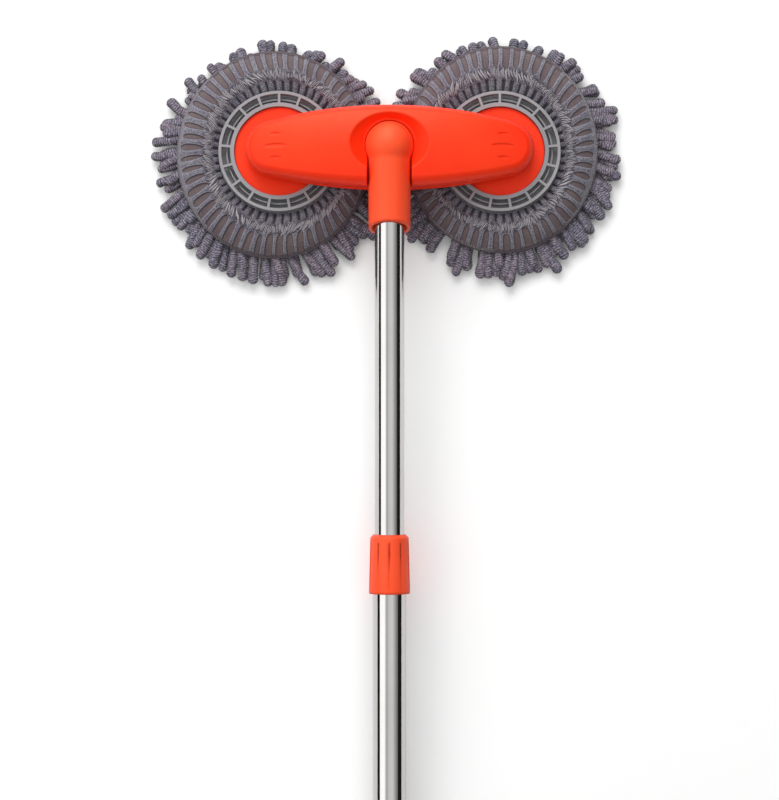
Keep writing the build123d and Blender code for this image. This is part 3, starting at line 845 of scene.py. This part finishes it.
def zigzag_tooth(tooth, outward, seed, dice):
    """Radii and angles of one stitch's points, out across the band and most of the way back beside itself."""
    pitch = tau / stitch_teeth
    middle_angle = (tooth + dice.uniform(*tooth_drift)) * pitch
    shift = float(stitch_offset(np.array(middle_angle), outward))
    inner = stitch_inner_radius + shift + dice.uniform(*tooth_inner_stray) * mm
    outer = stitch_outer_radius + shift + dice.uniform(*tooth_outer_stray) * mm
    slow_sway = sin(3 * middle_angle + seed)
    fine_sway = fine_sway_share * sin(11 * middle_angle)
    lean = stitch_lean * (slow_sway + fine_sway + loose_sway_share * dice.normal())
    half = dice.uniform(*tooth_half_width) * pitch
    share = np.linspace(0.0, 1.0, tooth_points)
    back = share[1:]
    radius = np.concatenate([
        inner + (outer - inner) * share,
        outer - (outer - inner) * back * tooth_return_share,
    ])
    angle = np.concatenate([
        middle_angle - half + lean * (share - 0.5),
        middle_angle + half + lean * (0.5 - back),
    ])
    return radius, angle


def stitching(side, outward, varied, seed):
    """The zigzag band and the slanted stitches of the hem."""
    dice = np.random.default_rng(seed)
    pile = Pile()

    def sew(radius, angle, lift, size, sides=5):
        relief = cloth_relief(radius, angle, outward, varied)[0]
        height = base_height(radius) + relief + lift
        thread(pile, np.stack([*oval(radius, angle, side), height], axis=-1), size, sides)

    for tooth in range(stitch_teeth):
        radius, angle = zigzag_tooth(tooth, outward, seed, dice)
        size = thread_radius * dice.uniform(*tooth_thickness)
        sew(radius, angle, size * tooth_lift_share, size)

    radius = np.linspace(hem_stitch_start, hem_stitch_end, hem_stitch_points)
    for sector_middle, sector_half in hem_stitch_sectors[side]:
        for place in np.arange(-sector_half, sector_half, hem_stitch_step):
            start = radians(sector_middle + place + dice.uniform(*hem_stitch_drift))
            angle = start + np.linspace(0.0, hem_stitch_turn, hem_stitch_points)
            sew(radius, angle, hem_stitch_lift, thread_radius * hem_thread_share, hem_stitch_sides)
    piece = pile.object(side + "_stitching", thread_material)
    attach(piece, side + "_head")


# Chenille fingers

def finger_shape(along, angle, radius, dice):
    """Radius of each point of a finger, and its place along the yarn, which the wrinkles follow."""
    length = along[-1]
    down = along[:, None]
    around = angle[None, :]
    # The sixth phase isn't used, but drawing it keeps the draws after it in step
    phases = dice.uniform(0.0, tau, 6)
    wave = wave_sizes[0] * np.sin(around + phases[0]) + wave_sizes[1] * np.sin(2 * around + phases[1])
    drift = drift_size * np.sin(down / drift_length + phases[2])
    yarn_place = down + wave + drift
    ridge = 0.5 + 0.5 * np.sin(yarn_place * tau / wrinkle_pitch)
    lumps = lump_sizes[0] * np.sin(down / lump_lengths[0] + 2 * around + phases[3])
    lumps = lumps + lump_sizes[1] * np.sin(down / lump_lengths[1] - 3 * around + phases[4])
    tip = np.clip((along - (length - radius)) / radius, 0.0, blunt_share)
    root = np.clip((radius - along) / radius, 0.0, blunt_share)
    cap = np.sqrt(1.0 - tip ** 2) * np.sqrt(1.0 - root ** 2)
    fluff = dice.normal(0.0, fluff_spread, yarn_place.shape) * mm
    swell = root_swell + tip_swell_gain * smoothstep(along, 0.0, length)
    radii = (radius * swell[:, None] - wrinkle_depth * (1.0 - ridge) + lumps + fluff) * cap[:, None]
    return radii, yarn_place


def finger(pile, path, heading, radius, tone, dice):
    """One chenille finger: a fat tube, a little fatter at its round tip, with wavy wrinkles across it."""
    path, along = evenly(path, ring_step)
    angle = np.arange(finger_sides) * tau / finger_sides
    radii, yarn_place = finger_shape(along, angle, radius, dice)
    across = (-sin(heading), cos(heading), 0.0)
    points = sweep(path, across, radii, finger_flatness)
    points[:, 2] = np.maximum(points[:, 2], least_height)
    offset = dice.uniform(0.0, 1.0, 3)
    yarn = np.stack([
        np.broadcast_to(radius * np.cos(angle), radii.shape).ravel() + offset[0],
        np.broadcast_to(radius * np.sin(angle), radii.shape).ravel() + offset[1],
        yarn_place.ravel() + offset[2],
    ], axis=-1)
    end_yarn = [offset, offset + [0.0, 0.0, along[-1]]]
    # How far each point faces up, from which the yarn material paints shade on the flanks and underside
    crest = np.broadcast_to(-np.sin(angle), radii.shape).ravel()
    pile.add(
        np.concatenate([points, [path[0], path[-1]]]),
        closed_faces(len(path), finger_sides, flip=True),
        crest=np.append(crest, [end_crest, end_crest]),
        tone=np.full(len(points) + 2, tone),
        yarn=np.concatenate([yarn, end_yarn]),
    )


def cloth_edge(angle, side):
    """Distance of the hem from the head's middle in a direction."""
    x, y = oval(np.array(cloth_hem_radius), np.array(angle), side)
    return float(np.hypot(x - heads[side].x, y - heads[side].y))


def finger_reach(angle, side, towards, dice):
    """How far a fringe finger reaches: short at the back and between the heads."""
    back = max(0.0, sin(angle)) ** 3
    front = max(0.0, -sin(angle))
    stray = dice.normal(0.0, overhang_spread)
    beyond = (overhang - overhang_back_loss * back + overhang_front_gain * front + stray) * mm
    reach = min(cloth_edge(angle, side) + max(least_overhang, beyond), farthest_reach)
    facing = cos(angle - towards)
    if facing > between_heads_share:
        reach = min(reach, (spindle_spacing / 2 - between_heads_room) / facing)
    return reach


def fringe_path(angle, layer, side, towards, dice):
    """Corners of one fringe finger's curve round its head's middle, and the direction it heads in."""
    reach = finger_reach(angle, side, towards, dice) - layer["short"] * dice.uniform(*shortening) * mm
    combed = atan2(sin(angle) + combing[side][1], cos(angle) + combing[side][0]) - angle
    combed = (combed + pi) % tau - pi
    lean = combed + dice.normal(0.0, lean_spread)
    curl = dice.normal(0.0, curl_spread)
    heading = angle + lean
    root = direction(angle) * layer["root"]
    tip_angle = angle + lean * (reach - layer["root"]) / reach
    tip = direction(tip_angle) * (reach - finger_radius * tip_inset_share)
    length = np.linalg.norm(tip - root)
    ahead = direction(heading + curl) * length
    bend = direction(heading - curl) * length
    edge_height = layer["low"] + layer["rise"] * dice.uniform(*rise_share)
    tip_height = layer["tip"] + dice.uniform(*tip_stray) * mm
    corners = [
        (*root, layer["low"]),
        (*(root + ahead * root_pull_share), edge_height),
        (*(tip - bend * tip_pull_share), (edge_height + tip_height) / 2 + fringe_hump),
        (*tip, tip_height),
    ]
    return corners, heading


def fringe(side, towards, seed):
    """Layers of fingers that come out from under the hem, the last of them a few loose ones."""
    dice = np.random.default_rng(seed)
    centre = heads[side]
    pile = Pile(scalars=("crest", "tone"), vectors=("yarn",))
    for layer in fringe_layers:
        for number in range(layer["count"]):
            angle = (number + dice.uniform(*fringe_drift)) * tau / layer["count"]
            corners, heading = fringe_path(angle, layer, side, towards, dice)
            path = bezier(corners, fringe_curve_points) + [centre.x, centre.y, 0.0]
            sway = fringe_tone_sway * sin(3.0 * angle + seed)
            tone = 0.5 + sway + dice.normal(0.0, fringe_tone_spread)
            finger(pile, path, heading, finger_radius * dice.uniform(*fringe_thickness), tone, dice)
    piece = pile.object(side + "_fringe_fingers", yarn_material)
    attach(piece, side + "_head")
    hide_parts(side + "_fringe")


def pile_fingers(side, seed):
    """Rings of fingers under the backing, pressed flat where the head stands."""
    dice = np.random.default_rng(seed)
    centre = heads[side]
    pile = Pile(scalars=("crest", "tone"), vectors=("yarn",))
    for ring in range(pile_ring_count):
        radius = pile_first_radius + ring * pile_ring_spacing
        count = max(fewest_in_ring, int(round(tau * radius / pile_finger_spacing)))
        for number in range(count):
            angle = (number + 0.5 * (ring % 2) + dice.uniform(*pile_drift)) * tau / count
            heading = angle + dice.normal(0.0, pile_heading_spread)
            root = direction(angle) * radius
            out = direction(heading)
            reach = dice.uniform(*pile_reach) * mm
            corners = [(*root, pile_root_height)]
            for share, height in pile_bends:
                corners.append((*(root + out * share * reach), height))
            path = bezier(corners, pile_curve_points) + [centre.x, centre.y, 0.0]
            tone = 0.5 + dice.normal(0.0, pile_tone_spread)
            finger(pile, path, heading, pile_finger_radius * dice.uniform(*pile_thickness), tone, dice)
    piece = pile.object(side + "_pile_fingers", yarn_material)
    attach(piece, side + "_head")
    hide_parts(side + "_pile")


def backing(side):
    """The padded disc that the fingers are sewn to, with a ring of channels."""
    centre = heads[side]
    angle = np.arange(backing_columns) * tau / backing_columns
    rows = []
    for share, height in backing_outline:
        radius = backing_radius * share
        wave = channel_depth * np.cos(angle * channel_count) * share
        rows.append(np.stack([
            centre.x + radius * np.cos(angle),
            centre.y + radius * np.sin(angle),
            height + wave,
        ], axis=-1))
    ends = [[centre.x, centre.y, height] for _, height in (backing_outline[0], backing_outline[-1])]
    points = np.concatenate([*rows, ends])
    zeros = np.zeros(len(points))
    pile = Pile(scalars=cloth_masks)
    pile.add(points, closed_faces(len(rows), backing_columns), **{key: zeros for key in cloth_masks})
    piece = pile.object(side + "_backing", cloth_material)
    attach(piece, side + "_head")


# Stage: a world of softboxes over low dark walls, a key lamp behind the arm and a weak one in front

softbox_level = 1.75
softbox_shares = [
    (0.0, 1.0), (0.228, 1.0), (0.268, 0.62), (0.335, 0.33), (0.4, 0.44), (0.47, 0.53), (0.665, 0.57),
    (0.725, 0.48), (0.785, 0.37), (0.84, 0.27), (0.89, 0.17), (1.0, 0.1),
]
end_share = 0.25
end_span = (0.3, 0.8)
wall_level = 0.016
wall_brim = 0.03
left_wall_share = 0.36
right_wall_share = 0.15
right_wall_span = (-0.05, 0.05)
floor_size = 9.0
floor_height = -0.2 * mm
view_middle = (arm_middle.x, arm_middle.y - 0.1, 0.0)
key_power = 28.0
key_size = 1.5
key_place = (arm_middle.x - 0.25, arm_middle.y + 1.25, 1.1)
fill_power = 2.0
fill_size = 1.2
fill_place = (arm_middle.x, arm_middle.y - 1.5, 1.1)


def light(name, size, power, place):
    """A round lamp that points at the middle of the view."""
    lamp = bpy.data.lights.new(name, "AREA")
    lamp.shape = "DISK"
    lamp.size = size
    lamp.energy = power
    made = bpy.data.objects.new(name, lamp)
    made.location = place
    made.rotation_euler = (Vector(view_middle) - Vector(place)).to_track_quat("-Z", "Y").to_euler()
    bpy.context.scene.collection.objects.link(made)


def studio_world():
    """White to the camera. Reflections see softboxes that fade to front and back, and low dark walls."""
    world = bpy.data.worlds.new("studio")
    bpy.context.scene.world = world
    sky = Network(world)
    heading = sky.node("ShaderNodeTexCoord").outputs["Generated"]
    split = sky.node("ShaderNodeSeparateXYZ", {0: heading}).outputs
    rightward = sky.span(split["X"], *right_wall_span)
    height = sky.plus(split["Z"], sky.times(rightward, -right_wall_share))
    above_walls = sky.span(height, left_wall_share - wall_brim, left_wall_share + wall_brim)
    softboxes = sky.ramp(sky.span(split["X"], -1.0, 1.0), softbox_shares)
    endward = sky.reckon("ABSOLUTE", split["Y"])
    falling_off = sky.span(endward, *end_span, softbox_level, end_share * softbox_level)
    level = sky.times(above_walls, sky.times(softboxes, falling_off))
    seen = sky.node("ShaderNodeLightPath").outputs["Is Camera Ray"]
    strength = sky.node("ShaderNodeMix", {0: seen, 2: sky.plus(level, wall_level), 3: 1.0}).outputs[0]
    background = sky.node("ShaderNodeBackground", {"Color": colour(white), "Strength": strength})
    sky.node("ShaderNodeOutputWorld", {"Surface": background.outputs[0]})


def stage():
    bpy.ops.mesh.primitive_plane_add(size=floor_size, location=(arm_middle.x, 0.0, floor_height))
    floor = bpy.context.object
    floor.name = "floor"
    floor.data.materials.append(floor_paper("floor_paper"))
    studio_world()
    light("key_light", key_size, key_power, key_place)
    light("fill_light", fill_size, fill_power, fill_place)


# Camera: the photograph's frame is 779 by 800 and looks down a little from the pole's side

photo_width = 779
photo_height = 800
photo_scale = 0.742 * mm
sensor_height = 24.0
camera_distance = 1.5
camera_tilt = radians(3.0)
target_height = 30.0 * mm
arm_in_photo = (389.5, 147.6)


def camera():
    data = bpy.data.cameras.new("camera")
    data.sensor_fit = "VERTICAL"
    data.sensor_height = sensor_height
    data.lens = sensor_height * camera_distance / (photo_height * photo_scale)
    made = bpy.data.objects.new("camera", data)
    bpy.context.scene.collection.objects.link(made)
    target = Vector((
        arm_middle.x + (photo_width / 2 - arm_in_photo[0]) * photo_scale,
        arm_middle.y - (photo_height / 2 - arm_in_photo[1]) * photo_scale,
        target_height,
    ))
    made.location = target + camera_distance * Vector((0.0, -sin(camera_tilt), cos(camera_tilt)))
    made.rotation_euler = (camera_tilt, 0.0, 0.0)
    bpy.context.scene.camera = made


finish_frame()
for number, (side, outward) in enumerate(outer_sides.items()):
    varied = strip_variation(cloth_seed + number)
    cloth_cover(side, outward, varied)
    stitching(side, outward, varied, stitch_seed + number)
    fringe(side, outward + pi, fringe_seed + number)
    pile_fingers(side, pile_seed + number)
    backing(side)
stage()
camera()
bpy.context.scene.view_settings.view_transform = "Standard"
